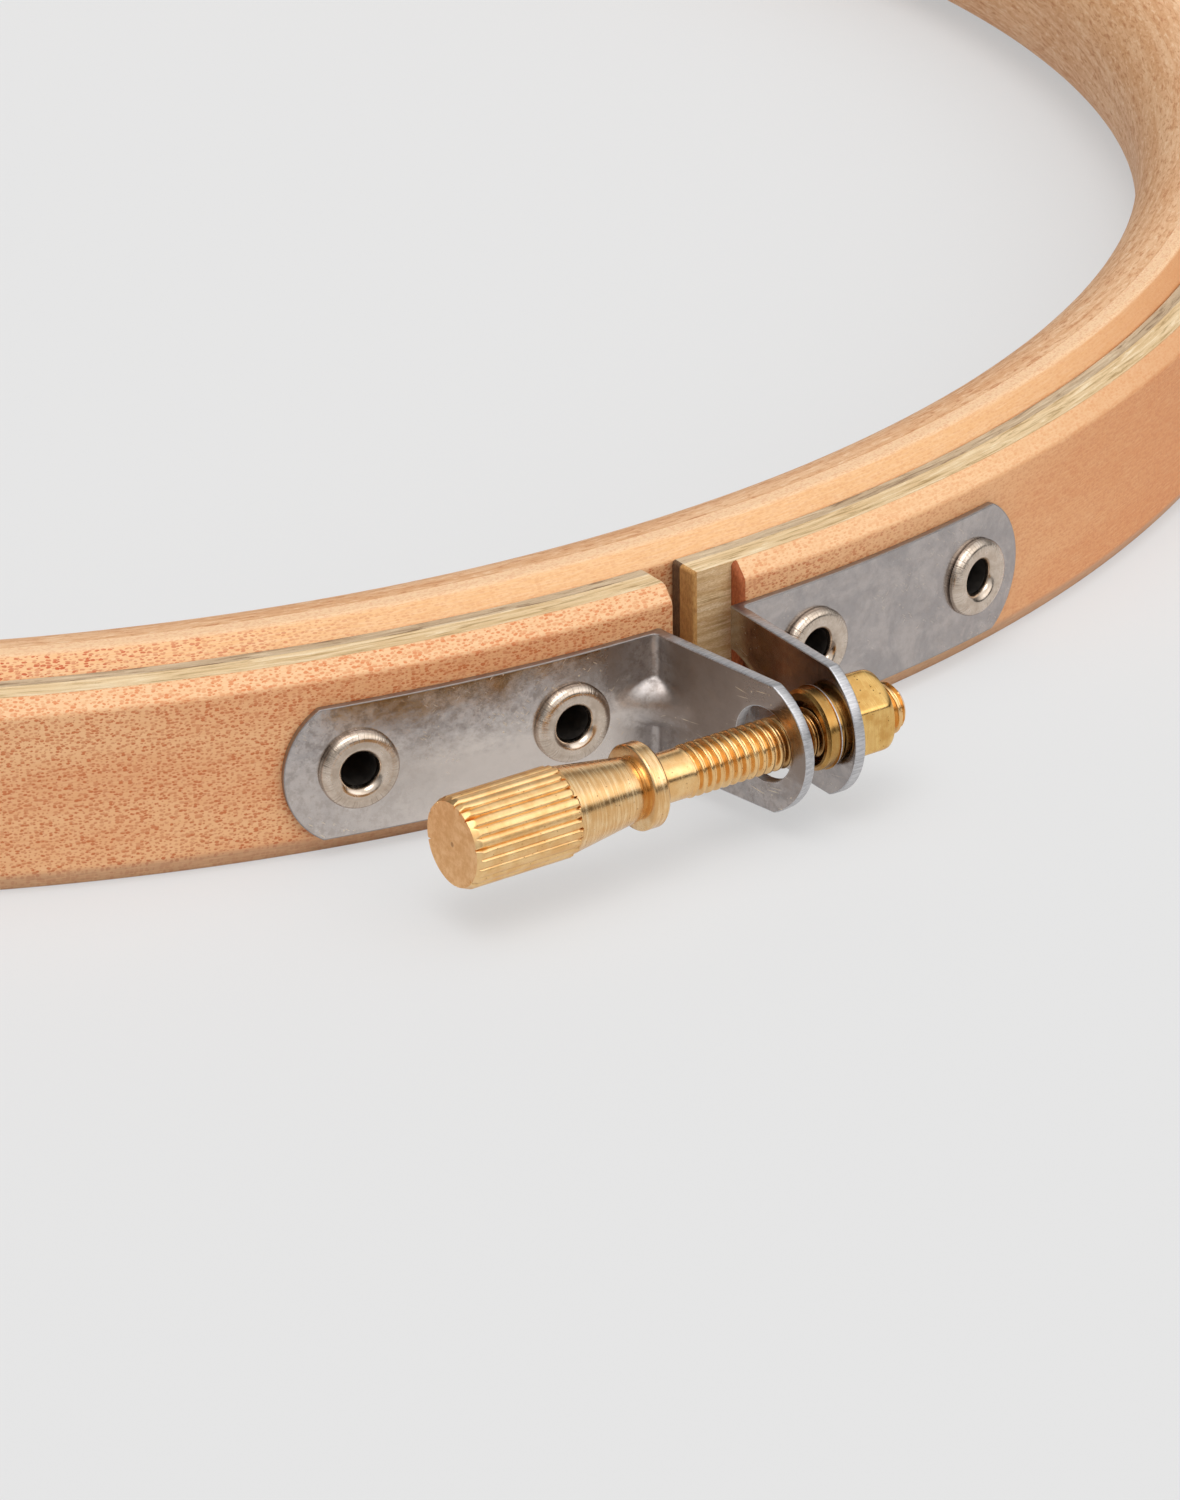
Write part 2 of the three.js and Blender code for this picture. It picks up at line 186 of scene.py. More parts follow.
def apply_modifiers(piece):
    graph = bpy.context.evaluated_depsgraph_get()
    mesh = bpy.data.meshes.new_from_object(
        piece.evaluated_get(graph), preserve_all_data_layers=True, depsgraph=graph
    )
    piece.modifiers.clear()
    piece.data = mesh


def level(piece):
    """Flat faces keep their shading flat beside the rounded edges."""
    piece.modifiers.new("level", "WEIGHTED_NORMAL").keep_sharp = True
    apply_modifiers(piece)


def tube_faces(rows, columns, closed):
    """Quads between rows of points that each run round once; closed joins the last row to the first."""
    faces = []
    for row in range(rows if closed else rows - 1):
        here, there = row * columns, (row + 1) % rows * columns
        for column in range(columns):
            beside = (column + 1) % columns
            faces.append((here + column, here + beside, there + beside, there + column))
    return faces


# Shader graphs

class Signal:
    """A number, tone or place that flows through a graph; each sum or product of it adds a node."""

    def __init__(self, graph, socket):
        self.graph, self.socket = graph, socket

    def math(self, operation, other=0.0):
        return self.graph.out("ShaderNodeMath", {0: self, 1: other}, operation=operation)

    __add__ = partialmethod(math, "ADD")
    __sub__ = partialmethod(math, "SUBTRACT")
    __mul__ = partialmethod(math, "MULTIPLY")
    __truediv__ = partialmethod(math, "DIVIDE")

    def __rsub__(self, other):
        return self.graph.out("ShaderNodeMath", {0: other, 1: self}, operation="SUBTRACT")

    def length_with(self, other):
        return (self * self + other * other).math("SQRT")

    def dot(self, direction):
        inputs = {0: self, 1: Vector(direction).normalized()}
        return self.graph.out("ShaderNodeVectorMath", inputs, "Value", operation="DOT_PRODUCT")

    def stretched(self, *scale):
        return self.graph.out("ShaderNodeVectorMath", {0: self, 1: scale}, operation="MULTIPLY")

    def parts(self):
        return signals(self.graph, self.graph.node("ShaderNodeSeparateXYZ", {"Vector": self}).outputs)

    def noise(self, scale=1.0, detail=2.0, roughness=0.5, distortion=0.0):
        inputs = {"Vector": self, "Scale": scale, "Detail": detail}
        inputs.update({"Roughness": roughness, "Distortion": distortion})
        return self.graph.out("ShaderNodeTexNoise", inputs, "Fac")

    def cells(self, scale=1.0, dimensions="3D"):
        """Distance to the nearest of many scattered points, and two random numbers for that point."""
        inputs = {"Vector": self, "Scale": scale}
        node = self.graph.node("ShaderNodeTexVoronoi", inputs, voronoi_dimensions=dimensions)
        distance, color = signals(self.graph, [node.outputs["Distance"], node.outputs["Color"]])
        first, second, _ = self.graph.node("ShaderNodeSeparateColor", {"Color": color}).outputs
        return [distance, *signals(self.graph, [first, second])]

    def steps(self, low, high, out_low=0.0, out_high=1.0):
        """From low to high, turned into out_low to out_high with soft ends."""
        inputs = {"Value": self, "From Min": low, "From Max": high, "To Min": out_low, "To Max": out_high}
        return self.graph.out("ShaderNodeMapRange", inputs, interpolation_type="SMOOTHSTEP")

    def mix(self, *tones):
        """The first tone where this is 0, the second where it is 1; plain tones are as on a screen."""
        first, second = [linear(*tone) if isinstance(tone, tuple) else tone for tone in tones]
        return self.graph.out("ShaderNodeMix", {"Factor": self, 6: first, 7: second}, 2, data_type="RGBA")

    def bump(self, distance, strength=1.0, normal=None):
        inputs = {"Height": self, "Distance": distance * MM, "Strength": strength}
        if normal:
            inputs["Normal"] = normal
        return self.graph.out("ShaderNodeBump", inputs)


def signals(graph, sockets):
    return [Signal(graph, socket) for socket in sockets]


class Graph:
    """Adds nodes to a material or to the world."""

    def __init__(self, owner):
        owner.use_nodes = True
        self.owner, self.tree = owner, owner.node_tree

    def node(self, kind, inputs=(), **settings):
        node = self.tree.nodes.new(kind)
        for key, value in settings.items():
            setattr(node, key, value)
        self.fill(node, dict(inputs))
        return node

    def fill(self, node, inputs):
        for key, value in inputs.items():
            self.put(node.inputs[key], value)

    def out(self, kind, inputs=(), output=0, **settings):
        return Signal(self, self.node(kind, inputs, **settings).outputs[output])

    def put(self, socket, value):
        if isinstance(value, Signal):
            self.tree.links.new(value.socket, socket)
        else:
            socket.default_value = value

    def vector(self, x, y=0.0, z=0.0):
        return self.out("ShaderNodeCombineXYZ", {"X": x, "Y": y, "Z": z})

    def finish(self, color, roughness, normal, metallic=0.0):
        inputs = {"Base Color": color, "Roughness": roughness, "Normal": normal, "Metallic": metallic}
        self.fill(self.tree.nodes["Principled BSDF"], inputs)
        return self.owner


def linear(red, green, blue):
    """A tone as it shows on a screen, 0 to 255, as the shader takes it."""
    def part(value):
        share = value / 255
        return share / 12.92 if share <= 0.04045 else ((share + 0.055) / 1.055) ** 2.4
    return (part(red), part(green), part(blue), 1.0)


def material_graph(name):
    return Graph(bpy.data.materials.new(name))


def object_place(graph):
    """The place on the object at rest, in millimetres, as x, y and z."""
    return [part * (1 / MM) for part in graph.out("ShaderNodeTexCoord", output="Object").parts()]


def round_the_hoop(graph):
    """Coordinates that follow the ring: along it, its radius and its height, in millimetres."""
    x, y, z = object_place(graph)
    forward = HOOP_Y - y
    return graph.vector(x.math("ARCTAN2", forward) * HOOP_RADIUS, x.length_with(forward), z)


def round_the_screw(graph):
    """The place along the screw, and how far behind and above its axis, in millimetres."""
    x, y, z = object_place(graph)
    return x, y - SCREW_Y, z - SCREW_HEIGHT


def flecks(ring, length, width, most, ragged):
    """Short dashes along the ring, seen on its face and on its bevels; 1 inside a dash."""
    along, radius, z = ring.parts()
    sideways = z - radius + ring.noise(1.5) * (width * 1.2)
    place = ring.graph.vector(along / length, sideways / width)
    distance, size, strength = place.cells(dimensions="2D")
    rough = ring.stretched(5, 14, 14).noise(detail=1) * ragged
    edge = distance + rough - size.steps(0, 1, 0.1, most)
    return edge.steps(ragged / 2, ragged / 2 + 0.14, 1.0, 0.0) * strength.steps(0, 1, 0.45, 1.0)


def beech(name, bevel_start, bevel_tone, bevel_fleck, bevel_fleck_size, fading, flat_top=None):
    """Steamed beech: dense reddish dashes on its face, larger ones where a bevel cuts the grain."""
    graph = material_graph(name)
    ring = round_the_hoop(graph)
    x, z = object_place(graph)[0], ring.parts()[2]
    sway = ring.stretched(0.04, 0.25, 0.25).noise(detail=3)
    fibre = ring.stretched(0.5, 9, 9).noise(detail=4, roughness=0.65)
    warmth = sway.steps(0.3, 0.7) + x.steps(10, 85, 0, 0.6)
    face = warmth.mix((231, 179, 129), (221, 158, 108))
    face = x.steps(15, 72).mix(face, (218, 142, 83))
    face = fibre.steps(0.4, 0.7, 0.0, 0.4).mix(face, (240, 198, 152))
    small = flecks(ring, 0.38, 0.21, 0.47, 0.18)
    face = (small * x.steps(0, 40, 0.95, 0.3)).mix(face, (196, 106, 54))
    bevel = fibre.steps(0.35, 0.7, 0.0, 0.6).mix(bevel_tone, (246, 208, 164))
    large = flecks(ring, *bevel_fleck_size)
    bevel = (large * x.steps(*fading)).mix(bevel, bevel_fleck)
    bevel = x.steps(25, 90, 0.0, 0.9).mix(bevel, (210, 143, 92))
    color = z.steps(bevel_start - 0.25, bevel_start + 0.25).mix(face, bevel)
    if flat_top:
        height, tone = flat_top
        pale = fibre.steps(0.35, 0.7, 0.0, 0.5).mix(tone, (250, 220, 182))
        pale = (small * 0.25).mix(pale, bevel_fleck)
        color = z.steps(height - 0.2, height - 0.05).mix(color, pale)
    # The bottom 2 mm are darker and browner, mottled.
    foot = ring.stretched(0.5, 5, 5).noise(detail=5, roughness=0.7)
    darker_foot = foot.steps(0.35, 0.7).mix((188, 142, 104), (214, 172, 130))
    color = z.steps(1.1, 2.0, 0.75, 0.0).mix(color, darker_foot)
    normal = (fibre - small * 0.4).bump(0.03, 0.5)
    return graph.finish(color, fibre.steps(0.3, 0.7, 0.5, 0.64), normal)


def streaked(name, tones, streaks, share, fineness=(0.2, 2.6, 2.6), glued=None):
    """Plain wood with fine streaks along the ring; glued gives the radius and tone of a bared glue line."""
    graph = material_graph(name)
    ring = round_the_hoop(graph)
    wide = ring.stretched(0.06, 1.6, 1.6).noise(detail=3)
    color = wide.steps(0.35, 0.65).mix(*tones)
    fine = ring.stretched(*fineness).noise(detail=6, roughness=0.7, distortion=0.6)
    color = fine.steps(0.5, 0.66, 0.0, share).mix(color, streaks[0])
    color = fine.steps(0.34, 0.48, share, 0.0).mix(color, streaks[1])
    dust = ring.stretched(4, 14, 14).noise(detail=3, roughness=0.7)
    color = dust.steps(0.55, 0.7, 0.0, 0.4).mix(color, streaks[0])
    if glued:
        face, tone = glued
        patchy = wide.steps(0.3, 0.7, 0.25, 0.6) + dust.steps(0.4, 0.6, -0.15, 0.15)
        bared = ring.parts()[1].steps(face - 0.08, face - 0.02) * patchy
        color = bared.mix(color, tone)
    return graph.finish(color, fine.steps(0.3, 0.7, 0.55, 0.7), fine.bump(0.05, 0.6))


def cut_end(name, pale, dark):
    """Wood where the saw went through: darker, with torn fibres."""
    graph = material_graph(name)
    x, y, z = object_place(graph)
    torn = graph.vector(x, y, z * 0.4).noise(6, detail=5, roughness=0.7)
    color = torn.steps(0.3, 0.7).mix(pale, dark)
    return graph.finish(color, torn.steps(0.3, 0.7, 0.65, 0.8), torn.bump(0.15, 0.7))


def scratches(place, turn, rarity):
    """Thin straight marks, all in one direction; 1 on a mark."""
    across = place.dot((cos(turn), cos(turn) * 0.3, sin(turn)))
    along = place.dot((-sin(turn), 0.3, cos(turn)))
    distance, rare, _ = place.graph.vector(across * 9.0, along * 1.1).cells(dimensions="2D")
    return distance.steps(0.12, 0.3, 1.0, 0.0) * rare.steps(rarity, rarity + 0.02)


def steel(name):
    """Polished strip: mottled, with short scratches and tiny golden specks."""
    graph = material_graph(name)
    x, y, z = object_place(graph)
    place = graph.vector(x, y, z)
    cloud = place.noise(0.35, detail=6, roughness=0.62, distortion=0.8)
    tone = cloud.steps(0.35, 0.65).mix((168, 162, 160), (187, 179, 175))
    busy = x.steps(-4, 2, 1.0, 0.25)
    haze = place.stretched(1, 1, 1.6).noise(0.5, detail=7, roughness=0.7)
    tone = (haze.steps(0.52, 0.7, 0.0, 0.75) * busy).mix(tone, (212, 206, 202))
    stain = place.noise(1.3, detail=6, roughness=0.75)
    tone = (stain.steps(0.38, 0.56, 0.65, 0.0) * busy).mix(tone, (138, 128, 122))
    # The left plate is painted brighter near its foot, a painted reflection of the pale floor, and painted
    # darker high up by the bend, as painted shade
    on_left = x.steps(-8, -4, 1.0, 0.0)
    wavering = z + haze * 7.0
    low = wavering.steps(9.5, 14.0, 1.0, 0.0) * (on_left * x.steps(-34, -18, 0.3, 0.85))
    tone = low.mix(tone, (232, 222, 214))
    corner = wavering.steps(10.5, 13.5) * x.steps(-15, -7)
    tone = (corner * (on_left * 0.8)).mix(tone, (142, 130, 122))
    radius = round_the_hoop(graph).parts()[1]
    on_ear = radius.steps(PLATE_FACE + 0.3, PLATE_FACE + 2.5) * x.steps(0.5, 2.5, 0.9, 0.0)
    tone = (on_ear * wavering.steps(6.5, 10.5)).mix(tone, (146, 131, 121))
    distance, rare, _ = place.cells(2.6)
    speck = distance.steps(0.1, 0.24, 1.0, 0.0) * rare.steps(0.8, 0.86)
    marks = scratches(place, 0.9, 0.93).math("MAXIMUM", scratches(place, 2.4, 0.95))
    crowd = place.noise(0.16, detail=2).steps(0.46, 0.62) * busy
    bright = speck.math("MAXIMUM", marks) * crowd
    color = bright.mix(tone, (246, 228, 200))
    near_bend = x.steps(-9, -6.5) * x.steps(-2.4, -1.6, 0.24, 0.0)
    rough = haze.steps(0.35, 0.65, 0.13, 0.27) + bright * 0.3 + near_bend
    dents = place.noise(0.7, detail=2).bump(0.05, 0.5)
    grain = place.stretched(1.2, 1.2, 7).noise(2.2, detail=5, roughness=0.7)
    return graph.finish(color, rough, (grain + bright).bump(0.008, 0.4, dents), metallic=1.0)


def cut_steel(name):
    """The sheared edge of the strip, with marks across it."""
    graph = material_graph(name)
    marks = graph.vector(*object_place(graph)).stretched(0.8, 7, 7).noise(detail=4, roughness=0.7)
    color = marks.steps(0.35, 0.65).mix((176, 175, 177), (212, 211, 213))
    radius = round_the_hoop(graph).parts()[1]
    # The plate's cut edges are painted darker than the ears': painted shade along the plate's top edge
    # under the wood.
    on_plate = radius.steps(PLATE_FACE + 0.4, PLATE_FACE + 1.6, 0.7, 0.0)
    color = on_plate.mix(color, (140, 131, 125))
    return graph.finish(color, marks.steps(0.3, 0.7, 0.3, 0.45), marks.bump(0.015, 0.6), metallic=1.0)


def nickel(name, axis, centre):
    """Warm nickel plate with fine scratches that run out from the hole."""
    graph = material_graph(name)
    x, y, z = object_place(graph)
    across = x * axis.y - y * axis.x - (centre.x * axis.y - centre.y * axis.x)
    up = z - centre.z
    rim = across.length_with(up).steps(2.3, 2.5)
    scratch = graph.vector(across.math("ARCTAN2", up) * 11.0).noise(2.2, detail=4)
    cloud = graph.vector(x, y, z).noise(0.9, detail=5, roughness=0.65)
    color = cloud.steps(0.35, 0.65).mix((194, 177, 160), (216, 201, 186))
    color = (scratch.steps(0.52, 0.62) * rim * 0.4).mix(color, (120, 100, 82))
    rough = cloud.steps(0.35, 0.7, 0.16, 0.3)
    return graph.finish(color, rough, (scratch * rim).bump(0.05, 0.7), metallic=1.0)


def eyelet_bore_shade(name):
    """The dull inside of a deep hole, painted near-black as painted shade."""
    graph = material_graph(name)
    bore_mottle = graph.vector(*object_place(graph)).noise(2, detail=3)
    color = bore_mottle.steps(0.3, 0.7).mix((34, 31, 29), (52, 47, 42))
    return graph.finish(color, bore_mottle.steps(0.3, 0.7, 0.5, 0.7), bore_mottle.bump(0.03))


def brass(name, tones, turned, lines, spots, shaded=None, dull=0.0):
    """Turned brass: fine rings round the screw's axis, of the given fineness and strength, and dark spots.

    shaded gives the two ends of a stretch where the brass is darker, and how much.
    """
    graph = material_graph(name)
    x, behind, above = round_the_screw(graph)
    place = graph.vector(x, behind, above)
    rings = place.stretched(turned, 0.3, 0.3).noise(detail=4, roughness=0.7)
    cloud = place.noise(0.7, detail=4, roughness=0.6)
    tone = cloud.steps(0.35, 0.65).mix(*tones)
    tone = rings.steps(0.42, 0.6, lines, 0.0).mix(tone, (208, 154, 90))
    distance, rare, _ = place.cells(2.8)
    spot = distance.steps(0.08, 0.24, 1.0, 0.0) * rare.steps(0.72, 0.8, 0, spots)
    color = spot.mix(tone, (96, 60, 20))
    if shaded:
        start, end, share = shaded
        stretch = x.steps(start, start + 0.5) * x.steps(end - 0.5, end, share, 0.0)
        color = stretch.mix(color, (132, 88, 36))
    rough = rings.steps(0.3, 0.7, 0.17 + dull, 0.3 + dull) + spot * 0.4
    normal = (rings * (0.4 + lines) - spot).bump(0.02, 0.5)
    return graph.finish(color, rough, normal, metallic=1.0)


def end_brass(name):
    """The matt end of the knob, with faint marks of turning."""
    graph = material_graph(name)
    x, behind, above = round_the_screw(graph)
    radius = behind.length_with(above)
    rings = graph.vector(radius).noise(7, detail=3)
    cloud = graph.vector(x, behind, above).noise(1.6, detail=5, roughness=0.7)
    color = cloud.steps(0.35, 0.65).mix((246, 204, 152), (234, 186, 130))
    color = radius.steps(0.12, 0.26, 0.6, 0.0).mix(color, (150, 100, 56))
    normal = (rings + cloud).bump(0.012, 0.5)
    return graph.finish(color, cloud.steps(0.3, 0.7, 0.52, 0.64), normal, metallic=1.0)


OUTER_BEECH = beech(
    "outer_beech", HOOP_HEIGHT - TOP_BEVEL, (238, 188, 138), (220, 126, 66), (0.42, 0.31, 0.47, 0.2),
    fading=(-15, 25, 0.9, 0.35),
)
INNER_BEECH = beech(
    "inner_beech", INNER_LIFT + HOOP_HEIGHT - INNER_BEVEL, (238, 184, 128), (200, 86, 30),
    (0.5, 0.27, 0.42, 0.22), fading=(-52, -14, 1.0, 0.18),
    flat_top=(INNER_LIFT + HOOP_HEIGHT, (242, 198, 152)),
)
CORE_WOOD = streaked(
    "core_wood", ((236, 208, 164), (220, 188, 140)), ((170, 136, 86), (248, 228, 194)), 0.9,
    glued=(CORE_RADIUS, (184, 134, 80)),
)
BACK_WOOD = streaked("back_wood", ((204, 180, 148), (186, 160, 128)), ((122, 92, 62), (222, 202, 170)), 0.9)
INNER_WOOD = streaked(
    "inner_wood", ((232, 186, 142), (218, 164, 116)), ((186, 116, 66), (242, 206, 166)), 0.75,
    fineness=(0.6, 3.2, 3.2),
)
CORE_END = cut_end("core_end", (220, 168, 100), (184, 130, 72))
# The back ply's cut end is darker than its own wood: partly its end grain, partly painted shade of that end
# lying in shadow.
SHADED_BACK_END = cut_end("shaded_back_end", (124, 92, 62), (88, 64, 44))
FACE_END = cut_end("face_end", (190, 104, 56), (152, 74, 34))
STEEL = steel("steel")
CUT_STEEL = cut_steel("cut_steel")
EYELET_BORE_SHADE = eyelet_bore_shade("eyelet_bore_shade")
PALE_TONES = (245, 207, 150), (234, 186, 124)
NECK_TONES = (248, 215, 165), (238, 196, 140)
NUT_TONES = (240, 200, 126), (214, 166, 92)
# Darker brass for the inside of the nut's bore: painted shade.
BORE_SHADE_TONES = (120, 84, 40), (92, 60, 26)
BRASS = brass("brass", PALE_TONES, turned=3.0, lines=0.1, spots=0.4, dull=0.12)
SHANK_BRASS = brass("shank_brass", PALE_TONES, turned=3.0, lines=0.1, spots=0.5, shaded=(-1.4, 3.4, 0.6))
TURNED_BRASS = brass("turned_brass", NECK_TONES, turned=4.0, lines=0.6, spots=0.5)
NUT_BRASS = brass("nut_brass", NUT_TONES, turned=4.0, lines=0.35, spots=0.9, shaded=(1.0, 4.4, 0.5))
NUT_BORE_SHADE = brass("nut_bore_shade", BORE_SHADE_TONES, turned=4.0, lines=0.2, spots=0.5)
END_BRASS = end_brass("end_brass")


# The wooden rings

STEP = radians(1)
END_ROUNDING, FACE_END_ROUNDING = 0.3, 0.45


def ring_points(outline, angle_at):
    """One station of a ring: each point of the outline at its own angle."""
    return [(*(unit(angle_at(point.x)) * point.x), point.y) for point in outline]


def on_hoop(points, lift=0.0):
    return [(x, y + HOOP_Y, z + lift) for x, y, z in points]


def full_ring(name, outline, material, body, node, lift):
    points = []
    count = round(tau / STEP)
    for index in range(count):
        points += ring_points(outline, lambda radius: index * STEP)
    piece = made(name, on_hoop(points, lift), tube_faces(count, len(outline), closed=True), [material])
    level(piece)
    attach(piece, body)
    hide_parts(node)


def drawn_in(outline, distance, kept_radius):
    """An outline narrowed from its top, its foot and the side away from kept_radius."""
    far = max(outline, key=lambda point: abs(point.x - kept_radius)).x
    across = 1 - distance / abs(far - kept_radius)
    up = 1 - 2 * distance / HOOP_HEIGHT
    middle = Vector((kept_radius, HOOP_HEIGHT / 2))
    return [middle + (point - middle) * Vector((across, up)) for point in outline]


def half_ring(name, outline, side, end, rounding, kept_radius, materials, node, hole):
    """Half of the split hoop, from its flat end at the gap to the middle of the rear."""
    points, rounding_steps = [], 5
    for step in range(rounding_steps + 1):
        turn = pi / 2 * step / rounding_steps
        depth = rounding * (1 - sin(turn))
        plane = end + rounding * (1 - cos(turn))
        narrow = drawn_in(outline, depth, kept_radius)
        points += ring_points(narrow, lambda radius: side * asin(plane / radius))
    first = ceil((end + rounding) / BORE_RADIUS / STEP) + 1
    last = round(pi / STEP)
    for index in range(first, last + 1):
        points += ring_points(outline, lambda radius: side * index * STEP)
    columns = len(outline)
    rows = len(points) // columns
    faces = tube_faces(rows, columns, closed=False)
    cut_faces = rounding_steps * columns if side > 0 else 0
    slots = [int(index < cut_faces) for index in range(len(faces))]
    start = tuple(range(columns))
    finish = tuple(range((rows - 1) * columns, rows * columns))
    faces += [start[::-1], finish]
    slots += [1, 0]
    if side < 0:
        faces = [face[::-1] for face in faces]
    piece = made(name, on_hoop(points), faces, materials, slots)
    drill_for_eyelets(piece, side, hole)
    level(piece)
    if side < 0:
        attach(piece, "outer_left")
    else:
        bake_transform(piece)
    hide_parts(node)


def eyelet_angle(side, across):
    return side * asin(across / PLATE_FACE)


def drill_for_eyelets(piece, side, radius):
    """Cuts the holes for the eyelets of one side out of a ply."""
    depth = 2 * (PLATE_FACE - BORE_RADIUS + 2)
    shape = bmesh.new()
    for across in EYELET_PLACES[side]:
        direction = unit(eyelet_angle(side, across))
        turn = Vector((*direction, 0)).to_track_quat("Z", "Y").to_matrix().to_4x4()
        middle = direction * PLATE_FACE
        place = Matrix.Translation(Vector((middle.x, middle.y + HOOP_Y, EYELET_HEIGHT[side])) * MM)
        bmesh.ops.create_cone(
            shape, cap_ends=True, segments=48, radius1=radius * MM, radius2=radius * MM,
            depth=depth * MM, matrix=place @ turn,
        )
    mesh = bpy.data.meshes.new("drill")
    shape.to_mesh(mesh)
    shape.free()
    cutter = placed("drill", mesh)
    cut = piece.modifiers.new("cut", "BOOLEAN")
    cut.operation, cut.object, cut.solver = "DIFFERENCE", cutter, "MANIFOLD"
    apply_modifiers(piece)
    bpy.data.objects.remove(cutter)


def ply(inner, outer, radii):
    """The section of a plain ply."""
    return filleted([(inner, 0), (outer, 0), (outer, HOOP_HEIGHT), (inner, HOOP_HEIGHT)], radii)


def bevelled_ply(inner, outer, width, foot, top, radii):
    """The section of a ply with a bevel at its foot and at its top."""
    corners = [(inner, 0), (outer - width, 0), (outer, foot)]
    corners += [(outer, HOOP_HEIGHT - top), (outer - width, HOOP_HEIGHT), (inner, HOOP_HEIGHT)]
    return filleted(corners, radii)


def outer_hoop():
    radii = [0.04, 0.3, 0.8, 0.7, 0.3, 0.04]
    face = bevelled_ply(CORE_RADIUS, HOOP_RADIUS, BEVEL_WIDTH, FOOT_BEVEL, TOP_BEVEL, radii)
    core = ply(BACK_RADIUS, CORE_RADIUS, [0.05, 0.05, 0.05, 0.05])
    back = ply(BORE_RADIUS, BACK_RADIUS, [0.25, 0.05, 0.05, 0.25])
    for side in (-1, 1):
        word = WORDS[side]
        face_end = LEFT_END if side < 0 else RIGHT_FACE_END
        end = LEFT_END if side < 0 else RIGHT_END
        plies = (
            ("face", face, face_end, FACE_END_ROUNDING, CORE_RADIUS, [OUTER_BEECH, FACE_END], PLY_HOLE),
            ("core", core, end, END_ROUNDING, BACK_RADIUS, [CORE_WOOD, CORE_END], PLY_HOLE),
            ("back", back, end, END_ROUNDING, BACK_RADIUS, [BACK_WOOD, SHADED_BACK_END], BACK_HOLE),
        )
        for ply_name, outline, start, rounding, kept_radius, materials, hole in plies:
            name, node = f"{ply_name}_wood_{word}", f"outer_{ply_name}_ply_{word}"
            half_ring(name, outline, side, start, rounding, kept_radius, materials, node, hole)


def inner_hoop():
    boundary = INNER_RADIUS - INNER_FACE_PLY
    outside = INNER_RADIUS + 0.2
    radii = [0.04, 0.4, 0.6, 0.6, 0.9, 0.04]
    face = bevelled_ply(boundary, outside, INNER_BEVEL_WIDTH, INNER_BEVEL, INNER_BEVEL, radii)
    hole = boundary - INNER_BACK_PLY
    middle, size = hole + ROUNDING_WIDTH, (ROUNDING_WIDTH, ROUNDING_HEIGHT)
    top = arc((middle, HOOP_HEIGHT - ROUNDING_HEIGHT), size, pi / 2, pi, 14)
    foot = arc((middle, ROUNDING_HEIGHT), size, pi, 1.5 * pi, 14)
    back = [Vector((boundary, 0)), Vector((boundary, HOOP_HEIGHT)), *top, *foot]
    full_ring("inner_face_wood", face, INNER_BEECH, "inner_hoop", "inner_face_ply", INNER_LIFT)
    full_ring("inner_back_wood", back, INNER_WOOD, "inner_hoop", "inner_back_ply", INNER_LIFT)


# The steel brackets

EDGE_ROUNDING = 0.1
FINE_GAP, MIDDLE_GAP, WIDE_GAP, FINE_REACH = 0.09, 0.16, 0.32, 0.8


